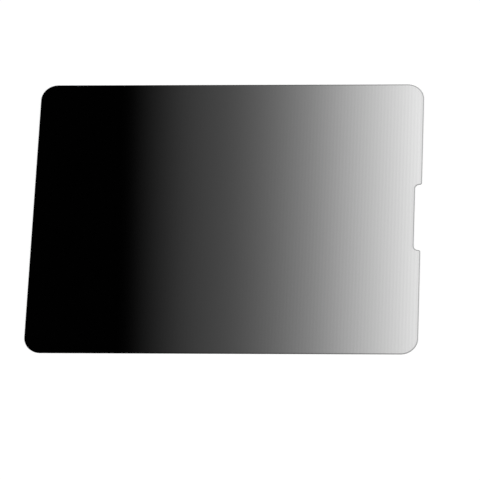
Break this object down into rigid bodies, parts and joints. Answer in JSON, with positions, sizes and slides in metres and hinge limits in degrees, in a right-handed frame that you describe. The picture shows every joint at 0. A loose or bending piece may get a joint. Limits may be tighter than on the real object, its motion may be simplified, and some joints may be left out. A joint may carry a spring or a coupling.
{
  "type": "privacy filter",
  "caption": "Thin flat privacy filter for a tablet screen: dark louvre film with rounded corners and a shallow notch in a short edge that leaves the camera and sensors clear.",
  "frame": {"origin": "middle of the back face, which lies on the screen", "axes": "+X along the long side towards the notched short edge, +Y across the sheet, +Z out of the front face"},
  "size_m": [0.277, 0.211, 0.0005],
  "materials": {
    "louvre_film": "satin, see-through tint, black at the plain short edge and nearly clear at the notched one"
  },
  "bodies": {
    "root": {"filter_sheet": "louvre_film"}
  },
  "joints": []
}
